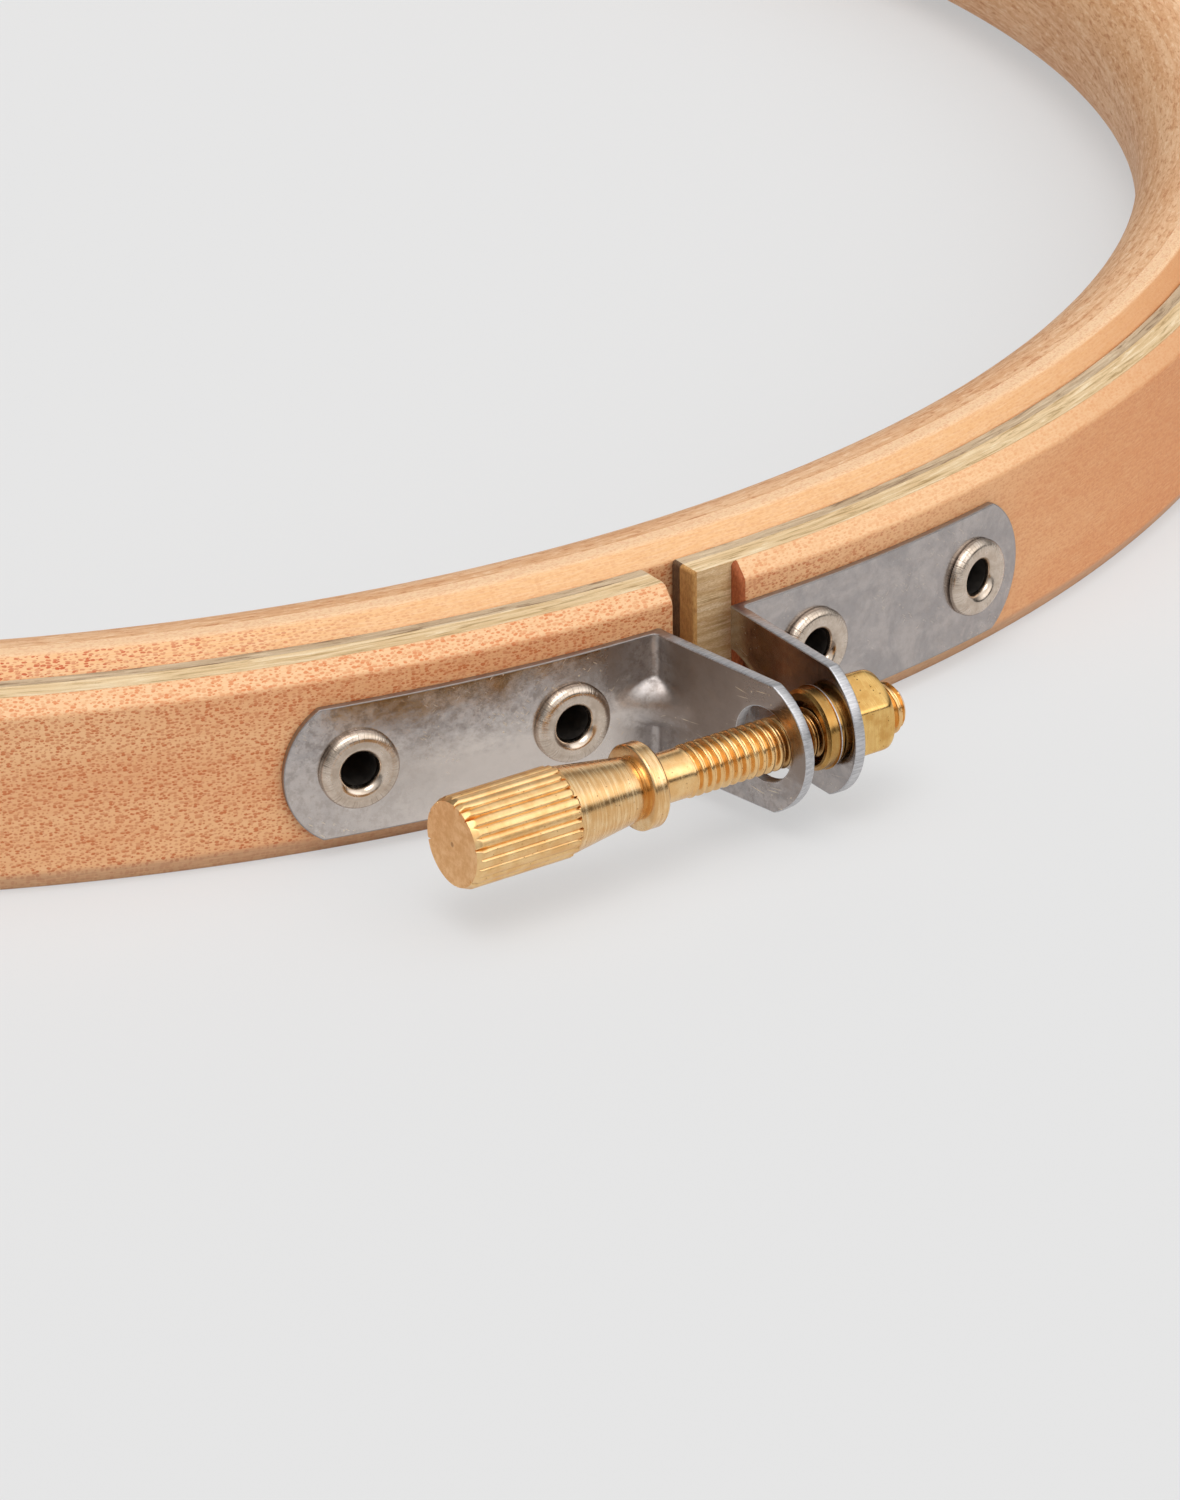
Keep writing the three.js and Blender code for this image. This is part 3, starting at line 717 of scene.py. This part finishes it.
class Strip:
    """A bent strip: places along it are counted from the middle of the bend, the ear being positive."""

    def __init__(self, side):
        self.side = side
        offset, lean = EARS[side]
        self.bend = BEND_RADIUS[side] + STRIP_THICKNESS / 2
        self.along = Vector((sin(lean), -cos(lean)))
        self.across = Vector((cos(lean), sin(lean)))
        self.foot = Vector((offset, -PLATE_MIDDLE))
        centre = self.foot + self.across * self.bend
        run = centre.dot(self.along)
        reach = (PLATE_MIDDLE + self.bend) ** 2 - centre.length_squared
        self.to_centre = sqrt(run**2 + reach) - run
        self.centre = centre + self.along * self.to_centre
        self.start = atan2(self.centre.x, -self.centre.y)
        self.half = self.bend * (pi / 2 + lean - self.start) / 2
        self.lean = lean
        self.lift, self.rise, self.taper = LIE[side]
        self.corners = {}

    def on_plate(self, across):
        """The place of a point of the plate, given how far it is from the gap's middle."""
        angle = asin(across / PLATE_FACE)
        return -self.half - PLATE_MIDDLE * (angle - self.start)

    def on_ear(self, out):
        """The place of a point of the ear, given how far it is from the plate's middle."""
        return self.half + out - self.to_centre

    def lift_at(self, place):
        """How much higher than level the strip lies at a place."""
        return self.lift + self.rise * place

    def line(self, place):
        """The strip's middle line and its normal there."""
        if place < -self.half:
            direction = unit(self.start + (-self.half - place) / PLATE_MIDDLE)
            return direction * PLATE_MIDDLE, direction
        if place > self.half:
            end = self.foot + self.along * self.to_centre
            return end + self.along * (place - self.half), self.across
        angle = pi / 2 + self.start + (place + self.half) / self.bend
        away = Vector((cos(angle), sin(angle)))
        return self.centre + away * self.bend, -away

    def bent(self, place, depth):
        """A point of the strip seen from above; the plate is thinner, and the bend is square outside."""
        if depth > 0:
            depth *= 1 - 2 * PLATE_THINNING / STRIP_THICKNESS * smooth(0.5 - place / 2)
        middle, normal = self.line(place)
        if abs(place) <= self.half and depth < 0:
            turn = (place + self.half) / (2 * self.half) * pi / 2
            power = 2 - 12 * depth / STRIP_THICKNESS
            corner = (cos(turn) ** power + sin(turn) ** power) ** (-1 / power)
            return middle - normal * (self.bend * (corner - 1)) + normal * (depth * corner)
        return middle + normal * depth

    def sharp_corner(self, depth):
        """Where plate and ear would meet without the bend, the ways to both and how far off they start."""
        if depth not in self.corners:
            first, last = self.bent(-BEND_END, depth), self.bent(BEND_END, depth)
            to_plate = (self.bent(-BEND_END - 0.5, depth) - first).normalized()
            to_ear = (self.bent(BEND_END + 0.5, depth) - last).normalized()
            corner = first + to_plate * ((last - first).cross(to_ear) / to_plate.cross(to_ear))
            self.corners[depth] = corner, to_plate, to_ear, (first - corner).length, (last - corner).length
        return self.corners[depth]

    def web(self, place, depth, fill):
        """A point of the gusset, which cuts the corner off as far out as fill."""
        corner, to_plate, to_ear, plate_start, ear_start = self.sharp_corner(depth)
        start = ear_start if place > 0 else plate_start
        out = abs(place) * start / BEND_END if abs(place) < BEND_END else abs(place) - BEND_END + start
        reach = (out**4 + fill**4) ** 0.25
        signed = copysign(out, place)
        return corner + to_plate * ((reach - signed) / 2) + to_ear * ((reach + signed) / 2)

    def point(self, place, height, depth):
        """A point of the bent strip: depth is measured from its middle towards its outside."""
        up = STRIP_HEIGHT + height + self.lift_at(place)
        up -= max(0.0, place) * self.taper * (0.5 + height / STRIP_WIDTH)
        point = self.bent(place, depth)
        fill = max(0.0, 1 - ((height + GUSSET_DROP) / GUSSET_HALF) ** 2) ** 0.75 * GUSSET_REACH
        if fill > 0:
            share = smooth(fill / 0.8) * smooth((GUSSET_SPAN - abs(place)) / (GUSSET_SPAN - fill))
            point = point.lerp(self.web(place, depth, fill), share)
        return (self.side * point.x, point.y + HOOP_Y, up)


def strip_outline(start, end, steps=28):
    """The strip laid flat, with a round end on its plate and on its ear, counter-clockwise."""
    half = STRIP_WIDTH / 2
    outline = []
    tips = ((end, EAR_END_RADIUS, 0, EAR_SKEW), (start, -PLATE_END_RADIUS, pi, 0.0))
    for tip, inwards, turn, skew in tips:
        radius = abs(inwards)
        swing = asin(half / radius)
        end_arc = arc((tip - inwards, 0), (radius, radius), turn - swing, turn + swing, steps)
        outline += [Vector((point.x - skew * point.y, point.y)) for point in end_arc]
    return outline


def spread(loop, gap_at):
    """A closed loop with more points on its long stretches; gap_at(x) is how far apart they may be."""
    dense = []
    for _, point, after in neighbours(loop):
        while (after - point).length > gap_at(point.x) * 1.3:
            dense.append(point)
            point = point + (after - point).normalized() * gap_at(point.x)
        dense.append(point)
    return dense


def strip_gap(place):
    """How far apart the points of a strip are: close together in the bend and its gusset."""
    if abs(place) < FINE_REACH:
        return FINE_GAP
    return MIDDLE_GAP if abs(place) < GUSSET_REACH + 0.6 else WIDE_GAP


def inside(point, loop):
    crossings = 0
    for _, first, second in neighbours(loop):
        if (first.y > point.y) != (second.y > point.y):
            share = (point.y - first.y) / (second.y - first.y)
            crossings += first.x + share * (second.x - first.x) > point.x
    return crossings % 2 == 1


def sheet(outline, holes):
    """Triangles that fill an outline with holes, and their corners; the loops' own points come first."""
    loops = [outline, *holes]
    corners = [point for loop in loops for point in loop]
    edges, start = [], 0
    for loop in loops:
        count = len(loop)
        edges += [(start + index, start + (index + 1) % count) for index in range(count)]
        start += count
    place, last = min(point.x for point in outline), max(point.x for point in outline)
    while place < last:
        gap = strip_gap(place)
        safe = [inset(loop, gap * 0.5) for loop in loops]
        for height in between(-STRIP_WIDTH / 2, STRIP_WIDTH / 2, round(STRIP_WIDTH / max(gap, 0.18))):
            point = Vector((place, height))
            if inside(point, safe[0]) and not any(inside(point, hole) for hole in safe[1:]):
                corners.append(point)
        place += gap
    points, _, faces, *_ = delaunay_2d_cdt(corners, edges, [], 1, 1e-6)
    kept = []
    for face in faces:
        centre = sum((points[corner] for corner in face), Vector((0, 0))) / 3
        if not any(inside(centre, hole) for hole in holes):
            kept.append(tuple(face))
    return points, kept


def oval(centre, size, steps=48):
    """A hole, clockwise, so that its inside is outside the strip."""
    return arc(centre, size, tau, tau / steps, steps - 1)


def bracket(side):
    strip = Strip(side)
    lean = strip.lean
    hole_place = strip.on_ear((SCREW_RADIUS - PLATE_MIDDLE) / cos(lean))
    hole_size, hole_height = (EAR_BORE, EAR_BORE), SCREW_HEIGHT
    if side < 0:
        hole_place -= SLOT_BACK
        hole_size, hole_height = SLOT_SIZE, SCREW_HEIGHT + SLOT_RISE

    def level_at(place, height):
        """A height above the floor, counted from the strip's middle as it lies at a place."""
        return height - STRIP_HEIGHT - strip.lift_at(place)

    start, end = strip.on_plate(PLATE_REACH[side]), strip.on_ear(EAR_LENGTH[side])
    outline = spread(strip_outline(start, end), strip_gap)
    places = [strip.on_plate(across) for across in EYELET_PLACES[side]]
    size = (PLATE_HOLE, PLATE_HOLE)
    holes = [oval((place, level_at(place, EYELET_HEIGHT[side])), size, 40) for place in places]
    holes.append(oval((hole_place, level_at(hole_place, hole_height)), hole_size))
    loops = [outline, *holes]
    flat = [inset(loop, EDGE_ROUNDING) for loop in loops]
    corners, triangles = sheet(flat[0], flat[1:])
    half = STRIP_THICKNESS / 2
    points = [strip.point(*corner, half) for corner in corners]
    points += [strip.point(*corner, -half) for corner in corners]
    count = len(corners)
    faces = list(triangles)
    faces += [tuple(corner + count for corner in face[::-1]) for face in triangles]
    slots = [0] * len(faces)
    turns = between(0.0, pi / 2, 3)[1:]
    rounding = [(EDGE_ROUNDING * (1 - sin(turn)), half - EDGE_ROUNDING * (1 - cos(turn))) for turn in turns]
    levels = rounding + [(inward, -depth) for inward, depth in rounding[::-1]]
    first = 0
    for loop in loops:
        size = len(loop)
        rings = [[first + index for index in range(size)]]
        for inward, depth in levels:
            rings.append(range(len(points), len(points) + size))
            points += [strip.point(*corner, depth) for corner in inset(loop, inward)]
        rings.append([first + index + count for index in range(size)])
        for above, below in zip(rings, rings[1:]):
            for index in range(size):
                beside = (index + 1) % size
                faces.append((above[index], below[index], below[beside], above[beside]))
                slots.append(1)
        first += size
    if side > 0:
        faces = [face[::-1] for face in faces]
    word = WORDS[side]
    piece = made(f"bracket_steel_{word}", points, faces, [STEEL, CUT_STEEL], slots, sharp=60)
    level(piece)
    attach(piece, f"outer_{word}")
    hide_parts(f"bracket_{word}")


# What is turned on a lathe

def screw_row(x, radius_at, segments, height=SCREW_HEIGHT):
    """Points round the screw's axis at x, at radius_at(x, angle)."""
    row = []
    for index in range(segments):
        angle = tau * index / segments
        radius = radius_at(x, angle)
        row.append((x, SCREW_Y + radius * cos(angle), height + radius * sin(angle)))
    return row


def turned(name, radius_at, places, segments, materials, slot_at=None, sharp=50):
    """A solid round the screw's axis. radius_at(x, angle) is its surface, and both ends are closed flat."""
    points = []
    for x in places:
        points += screw_row(x, radius_at, segments)
    faces = tube_faces(len(places), segments, closed=False)
    count = len(points)
    points += [(places[0], SCREW_Y, SCREW_HEIGHT), (places[-1], SCREW_Y, SCREW_HEIGHT)]
    last = count - segments
    faces += [(count, (index + 1) % segments, index) for index in range(segments)]
    faces += [(count + 1, last + index, last + (index + 1) % segments) for index in range(segments)]
    slots = None
    if slot_at:
        slots = [slot_at(sum(points[corner][0] for corner in face) / len(face)) for face in faces]
    return made(name, points, faces, materials, slots, sharp)


def eyelet(side, across, word):
    """A rolled rim, a barrel through plate and plies, and a clinched end."""
    direction = unit(eyelet_angle(side, across))
    sideways = Vector((-direction.y, direction.x))
    centre = direction * PLATE_FACE
    back = BORE_RADIUS + 0.1 - PLATE_FACE
    height = EYELET_HEIGHT[side]
    barrel, head, crest, top = 2.0, 3.22, 2.5, 0.85
    dish, throat, bore = 2.2, 1.44, 1.46
    clinch = [(bore + 0.35, back - 0.02), (2.9, back + 0.02), (3.0, back + 0.12), (2.9, back + 0.3)]
    profile = [(bore, top - 1.3), (bore, back), *clinch, (barrel, back + 0.34)]
    profile += [(barrel, -0.02), (head - 0.1, 0.0), (head, 0.1)]
    profile += arc((crest, 0.2), (head - crest, top - 0.2), 0.1, pi / 2, 12)
    profile += arc((dish, top - 0.85), (dish - throat, 0.83), pi / 2, pi, 10)
    points, segments = [], 72
    for index in range(segments):
        turn = tau * index / segments
        for out, rise in map(Vector, profile):
            flat = centre + direction * rise + sideways * out * cos(turn)
            points.append((flat.x, flat.y + HOOP_Y, height + out * sin(turn)))
    faces = tube_faces(segments, len(profile), closed=True)
    # The barrel's inner faces take the near-black bore material: painted shade.
    slots = [int(index % len(profile) in (0, len(profile) - 1)) for index in range(len(faces))]
    body, label = f"outer_{WORDS[side]}", f"nickel_{WORDS[side]}_{word}"
    material = nickel(label, direction, Vector((centre.x, centre.y + HOOP_Y, height)))
    piece = made(f"eyelet_{label}", points, faces, [material, EYELET_BORE_SHADE], slots)
    level(piece)
    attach(piece, body)
    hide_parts(f"eyelet_{WORDS[side]}_{word}")


# Lengths along the screw, from its head to its tip
HEAD_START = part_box("screw_head")[0].x / MM
COLLAR_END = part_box("screw_head")[1].x / MM
SCREW_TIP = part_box("screw_shank")[1].x / MM
NUT_START, NUT_END = 4.88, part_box("captive_nut")[1].x / MM + 0.1
RIM_START, RIM_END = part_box("captive_nut")[0].x / MM - 0.8, 3.4
NUT_RISE, NUT_FLATS = 0.25, 6.45
FLANGE_RADIUS, WASHER_RADIUS, RIM_RADIUS, SPIGOT_RADIUS = 2.95, 3.36, 3.18, 2.68
COLLAR_LENGTH, NECK_LENGTH = 1.35, 6.5
NECK_END = COLLAR_END - COLLAR_LENGTH
NECK_START = NECK_END - NECK_LENGTH
HEAD_RADIUS, KNURL_DEPTH, KNURL_COUNT, HEAD_BEVEL, RAGGED = 3.6, 0.2, 26, 0.55, 0.5
NECK_START_RADIUS, NECK_END_RADIUS, NECK_UNDERCUT, COLLAR_RADIUS = 3.42, 2.5, 0.08, 3.4
SHANK_RADIUS, SHANK_END = 1.97, COLLAR_END + 3.45
THREAD_RADIUS, THREAD_DEPTH, THREAD_PITCH = 2.08, 0.42, 0.794


def ridge_at(angle):
    """Which ridge of the knurl is at an angle; the whole numbers are at the feet of its grooves."""
    return angle * KNURL_COUNT / tau


def groove(angle):
    """How deep the knurl is at an angle: 0 on the crown of a ridge and 1 at the foot of a groove."""
    phase = abs(ridge_at(angle) % 1.0 - 0.5) * 2
    return phase**3.4


def chance(number):
    """A number from 0 to 1 that looks random and is always the same."""
    return sin(number * 12.9898 + 4.1) * 43758.5453 % 1.0


def screw_head():
    def neck_radius(x):
        share = (x - NECK_START) / NECK_LENGTH
        undercut = NECK_UNDERCUT * smooth((x - NECK_END + 0.42) / 0.1)
        return NECK_START_RADIUS + (NECK_END_RADIUS - NECK_START_RADIUS) * share - undercut

    def knurl_radius(x, angle, from_end):
        bevelled = HEAD_RADIUS - max(0.0, HEAD_BEVEL - (x - HEAD_START)) * 0.45
        notch = chance(floor(ridge_at(angle) + 0.5))
        cut = KNURL_DEPTH * (0.6 + 0.5 * notch)
        cut += 0.4 * smooth((notch - 0.35) / 0.3) * smooth(1 - (x - HEAD_START) / 1.5)
        cut += 0.4 * smooth(1 - from_end / 0.4)
        ridge = HEAD_RADIUS - cut * groove(angle) + 0.05 * smooth(1 - from_end / 0.35)
        return min(bevelled, ridge) - max(0.0, 0.1 - from_end) * 1.2

    def radius_at(x, angle):
        ridge = floor(ridge_at(angle))
        within = ridge_at(angle) - ridge
        ragged = RAGGED * (chance(ridge) * 0.75 + chance(ridge + 0.5) * abs(within - 0.5))
        from_end = NECK_START - ragged - x
        if from_end >= 0:
            return knurl_radius(x, angle, from_end)
        if x <= NECK_END:
            return neck_radius(x)
        edge = 0.14
        inwards = max(0.0, edge - (x - NECK_END)) + max(0.0, edge - (COLLAR_END - x))
        return COLLAR_RADIUS - inwards * 0.8

    places = [HEAD_START, HEAD_START + 0.02]
    places += between(HEAD_START + 0.06, HEAD_START + 1.0, 12)
    places += between(HEAD_START + 1.3, NECK_START - 0.8, 12) + between(NECK_START - 0.7, NECK_START, 14)
    places += [NECK_START + 0.002] + between(NECK_START + 0.2, NECK_END - 0.6, 8)
    places += between(NECK_END - 0.45, NECK_END, 9)
    places += [NECK_END + 0.002] + between(NECK_END + 0.05, NECK_END + 0.2, 3)
    places += between(NECK_END + 0.5, COLLAR_END - 0.2, 3) + between(COLLAR_END - 0.14, COLLAR_END, 3)

    def slot_at(x):
        if x <= HEAD_START:
            return 2
        return 1 if x > NECK_START - RAGGED / 4 else 0

    materials = [BRASS, TURNED_BRASS, END_BRASS]
    piece = turned("screw_head_brass", radius_at, places, KNURL_COUNT * 16, materials, slot_at, sharp=60)
    level(piece)
    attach(piece, "screw_head")
    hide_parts("screw_head")


def screw_shank():
    thread_start, tip_bevel = SHANK_END - 0.15, 0.55

    def radius_at(x, angle):
        phase = (x / THREAD_PITCH - angle / tau) % 1.0
        wave = abs(phase - 0.5) * 2
        depth = THREAD_DEPTH * smooth((wave - 0.18) / 0.72)
        run_in = smooth((x - thread_start + 0.3) / 0.6)
        radius = SHANK_RADIUS + (THREAD_RADIUS - depth - SHANK_RADIUS) * run_in
        return min(radius, THREAD_RADIUS - tip_bevel + (SCREW_TIP - x) * 1.1)

    plain = between(COLLAR_END + 0.01, thread_start - 0.35, 10)
    rows = round((SCREW_TIP - thread_start + 0.3) / THREAD_PITCH * 20)
    places = plain + between(thread_start - 0.3, SCREW_TIP, rows)
    piece = turned("screw_shank_brass", radius_at, places, 72, [SHANK_BRASS])
    level(piece)
    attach(piece, "screw_shank")
    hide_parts("screw_shank")


def captive_nut():
    half = NUT_FLATS / 2
    corner = half / cos(pi / 6)
    flange_end, washer_end, spigot_end = RIM_END - 0.4, RIM_END - 0.3, NUT_START - 0.03

    def outside(x, angle):
        if x <= flange_end:
            return FLANGE_RADIUS + 0.3 * smooth((x - RIM_START) / 0.25)
        if x <= washer_end:
            return WASHER_RADIUS
        if x <= spigot_end:
            return RIM_RADIUS if x <= RIM_END else SPIGOT_RADIUS
        flat = (angle + pi / 6) % (pi / 3) - pi / 6
        hexagon = half / cos(flat)
        dome = corner - 0.06 - 0.4 * max(0.0, 1 - (NUT_END - x) / 1.1) ** 2
        return (hexagon**-30 + dome**-30) ** (-1 / 30)

    segments = 96
    rim = between(RIM_START, flange_end, 10) + [flange_end + 0.002, washer_end]
    rim += [washer_end + 0.002, RIM_END]
    spigot = [RIM_END + 0.002, spigot_end]
    nut = between(NUT_START - 0.028, NUT_END - 1.2, 3) + between(NUT_END - 1.05, NUT_END, 10)
    bore = THREAD_RADIUS + 0.03
    places = [(x, None) for x in rim + spigot + nut]
    washer_row, bore_row = 11, len(places)
    places += [(NUT_END, bore + 0.25), (NUT_END - 0.25, bore), (RIM_START + 1.4, bore)]
    places += [(RIM_START + 1.3, bore + 0.3), (RIM_START + 0.2, bore + 0.42), (RIM_START, bore + 0.5)]
    points = []
    for x, radius in places:
        if radius is None:
            points += screw_row(x, outside, segments, SCREW_HEIGHT + NUT_RISE)
        else:
            points += screw_row(x, lambda x, angle: radius, segments)
    faces = tube_faces(len(places), segments, closed=True)
    rows = [index // segments for index in range(len(faces))]
    # The nut's bore takes the darker brass: painted shade.
    slots = [1 if row == washer_row else 2 if bore_row <= row < len(places) - 1 else 0 for row in rows]
    piece = made("captive_nut_brass", points, faces, [NUT_BRASS, CUT_STEEL, NUT_BORE_SHADE], slots)
    level(piece)
    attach(piece, "outer_right")
    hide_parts("captive_nut")


# Floor, light and camera

BACKGROUND = linear(229, 229, 229)
FLOOR_COLOR = linear(226, 226, 226)
EVEN_SHARE = 0.6
SOFTBOX = (0.05, -0.42, 0.9)
SOFTBOX_GLOW, ROOM = 1.0, 0.2
FRONT, FRONT_GLOW, STRIP_DARKNESS = (0.5, -0.85, 0.3), 0.85, 0.93
BEHIND, BEHIND_GLOW = (0.5, 0.78, 0.22), 0.7
SUN_FROM, SUN_STRENGTH = (-0.3, -0.3, 0.9), 0.8


def pale_floor():
    """A pale floor: the camera sees an even grey with part of the object's shadow on it."""
    reach = 12.0
    mesh = bpy.data.meshes.new("floor")
    corners = [(-reach, -reach, 0), (reach, -reach, 0), (reach, reach, 0), (-reach, reach, 0)]
    mesh.from_pydata(corners, [], [(0, 1, 2, 3)])
    plane = placed("floor", mesh)
    graph = material_graph("floor")
    graph.tree.nodes.remove(graph.tree.nodes["Principled BSDF"])
    lit = graph.out("ShaderNodeBsdfDiffuse", {"Color": FLOOR_COLOR})
    even = graph.out("ShaderNodeEmission", {"Color": BACKGROUND, "Strength": 1.0})
    path = graph.node("ShaderNodeLightPath").outputs
    kinds = ("Camera", "Glossy", "Transmission")
    seen, glossy, through = signals(graph, [path[f"Is {kind} Ray"] for kind in kinds])
    share = seen.math("MAXIMUM", glossy).math("MAXIMUM", through) * EVEN_SHARE
    mixed = graph.out("ShaderNodeMixShader", {0: share, 1: lit, 2: even})
    graph.put(graph.tree.nodes["Material Output"].inputs["Surface"], mixed)
    mesh.materials.append(graph.owner)


def lights():
    """A dim room with a wide soft light over the front, and one softer sun for form."""
    world = bpy.data.worlds.new("studio")
    bpy.context.scene.world = world
    graph = Graph(world)
    direction = graph.out("ShaderNodeTexCoord", output="Generated")
    soft = direction.dot(SOFTBOX).steps(0.25, 0.95, ROOM, ROOM + SOFTBOX_GLOW)
    dark = direction.dot((0.2, 1.0, 0.3)).steps(0.3, 1.0, 0.0, 0.1)
    front = direction.dot(FRONT).steps(0.7, 1.0, 0.0, FRONT_GLOW)
    behind = direction.dot(BEHIND).steps(0.87, 0.97, 0.0, BEHIND_GLOW)
    height = direction.parts()[2]
    strip = height.steps(0.0, 0.03) * height.steps(0.2, 0.3, STRIP_DARKNESS, 0.0)
    strip = strip * direction.dot(FRONT).steps(0.4, 0.8)
    background = graph.tree.nodes["Background"]
    background.inputs["Color"].default_value = (1, 1, 1, 1)
    graph.put(background.inputs["Strength"], (soft - dark + front + behind) * (1.0 - strip))
    data = bpy.data.lights.new("sun", "SUN")
    data.energy = SUN_STRENGTH
    data.angle = radians(35)
    sun = placed("sun", data)
    sun.rotation_mode = "QUATERNION"
    sun.rotation_quaternion = Vector(SUN_FROM).to_track_quat("Z", "Y")


def camera():
    """The photograph's view, worked out from the hoop's curves in it."""
    place = Vector((-290.002, -541.667 + HOOP_Y, 250.587)) * MM
    yaw, pitch, roll = 0.595, 0.457, -0.011
    focal_pixels, tall_side, sensor = 7240.9, 1500, 36
    forward = Vector((sin(yaw) * cos(pitch), cos(yaw) * cos(pitch), -sin(pitch)))
    right = Vector((cos(yaw), -sin(yaw), 0))
    up = right.cross(forward)
    right, up = right * cos(roll) + up * sin(roll), up * cos(roll) - right * sin(roll)
    data = bpy.data.cameras.new("camera")
    data.sensor_width = sensor
    data.lens = focal_pixels * sensor / tall_side
    data.clip_start, data.clip_end = 0.05, 60
    view = placed("camera", data)
    rotation = Matrix((right, up, -forward)).transposed().to_4x4()
    view.matrix_world = Matrix.Translation(place) @ rotation
    bpy.context.scene.camera = view


bpy.context.scene.view_settings.view_transform = "Standard"
camera()
outer_hoop()
inner_hoop()
for side in (-1, 1):
    bracket(side)
    for across, word in zip(EYELET_PLACES[side], ("inner", "outer")):
        eyelet(side, across, word)
screw_head()
screw_shank()
captive_nut()
pale_floor()
lights()
